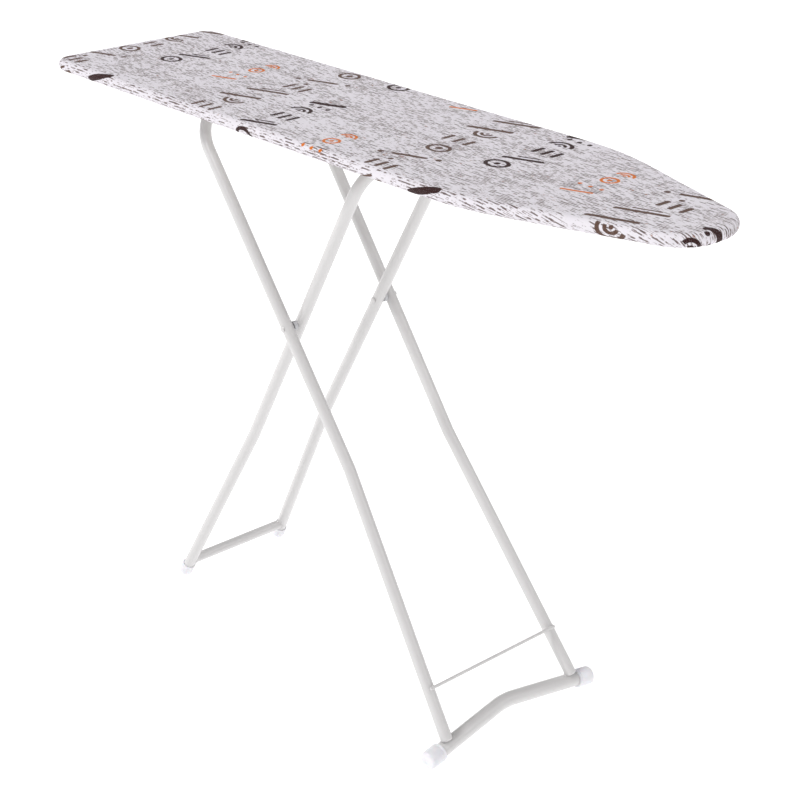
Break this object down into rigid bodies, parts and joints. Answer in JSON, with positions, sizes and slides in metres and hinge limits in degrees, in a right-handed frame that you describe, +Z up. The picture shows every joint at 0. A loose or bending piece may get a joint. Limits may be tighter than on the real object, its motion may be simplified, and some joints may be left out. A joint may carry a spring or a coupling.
{
  "type": "folding ironing board",
  "caption": "Padded, cloth-covered ironing board on two crossed tube frames that fold flat under it, with a notched height rack and a release bail.",
  "frame": {"origin": "on the floor, below the centre of the bounding box, board level at its greatest height", "axes": "+X along the board towards its narrow nose, +Y across the board, +Z up"},
  "size_m": [1.2048, 0.3392, 0.85],
  "materials": {
    "powder_coat_grey": "satin light warm grey powder coat",
    "white_plastic": "satin bluish-white moulded plastic",
    "cover_cotton": "pale lavender-grey woven cotton with a printed pattern",
    "felt_padding": "off-white felt or foam",
    "zinc_plated_steel": "zinc plated",
    "spring_steel": "drawn wire",
    "elastic_band": "white braided elastic",
    "grey_nylon": "light grey moulded nylon"
  },
  "bodies": {
    "board": {"mesh_top": "powder_coat_grey", "rim_frame": "powder_coat_grey", "rib_tail": "powder_coat_grey", "rib_hinge": "powder_coat_grey", "rib_middle": "powder_coat_grey", "rib_nose": "powder_coat_grey", "rib_tip": "powder_coat_grey", "foam_pad": "felt_padding", "fabric_cover": "cover_cotton", "cover_elastic": "elastic_band", "hinge_bush_left": "grey_nylon", "hinge_bush_right": "grey_nylon", "hinge_clamp_left": "zinc_plated_steel", "hinge_clamp_right": "zinc_plated_steel", "hinge_rivet_1": "zinc_plated_steel", "hinge_rivet_2": "zinc_plated_steel", "hinge_rivet_3": "zinc_plated_steel", "hinge_rivet_4": "zinc_plated_steel", "height_rack": "zinc_plated_steel"},
    "release_handle": {"release_bail": "spring_steel", "bail_tie": "spring_steel", "bail_grip": "white_plastic", "bail_spring": "spring_steel"},
    "outer_frame": {"outer_leg_tube": "powder_coat_grey", "outer_foot_bar": "powder_coat_grey", "brace_rod": "powder_coat_grey", "outer_foot_cap_left": "white_plastic", "outer_foot_cap_right": "white_plastic", "pivot_pin_left": "powder_coat_grey", "pivot_pin_right": "powder_coat_grey", "pivot_spacer_left": "grey_nylon", "pivot_spacer_right": "grey_nylon"},
    "inner_frame": {"inner_leg_tube": "powder_coat_grey", "inner_crossbar": "powder_coat_grey", "inner_foot_tip_left": "white_plastic", "inner_foot_tip_right": "white_plastic"}
  },
  "joints": [
    {"name": "outer_frame_fold", "type": "hinge", "parent": "board", "child": "outer_frame", "pos_m": [-0.30066, 0, 0.82066], "axis": [0, -1, 0], "range_deg": [0, 51.4]},
    {"name": "inner_frame_scissor", "type": "hinge", "parent": "outer_frame", "child": "inner_frame", "pos_m": [-0.0898, 0, 0.5388], "axis": [0, 1, 0], "range_deg": [0, 111.26]},
    {"name": "release_bail_pull", "type": "hinge", "parent": "board", "child": "release_handle", "pos_m": [0.402, 0, 0.8185], "axis": [0, -1, 0], "range_deg": [0, 4], "stiffness_Nm_per_rad": 1.5, "springref_deg": -20.05, "deforming": ["bail_spring"]}
  ],
  "couplings": [
    {"joint": "inner_frame_scissor", "follows": "outer_frame_fold", "ratio": 2.1636}
  ]
}
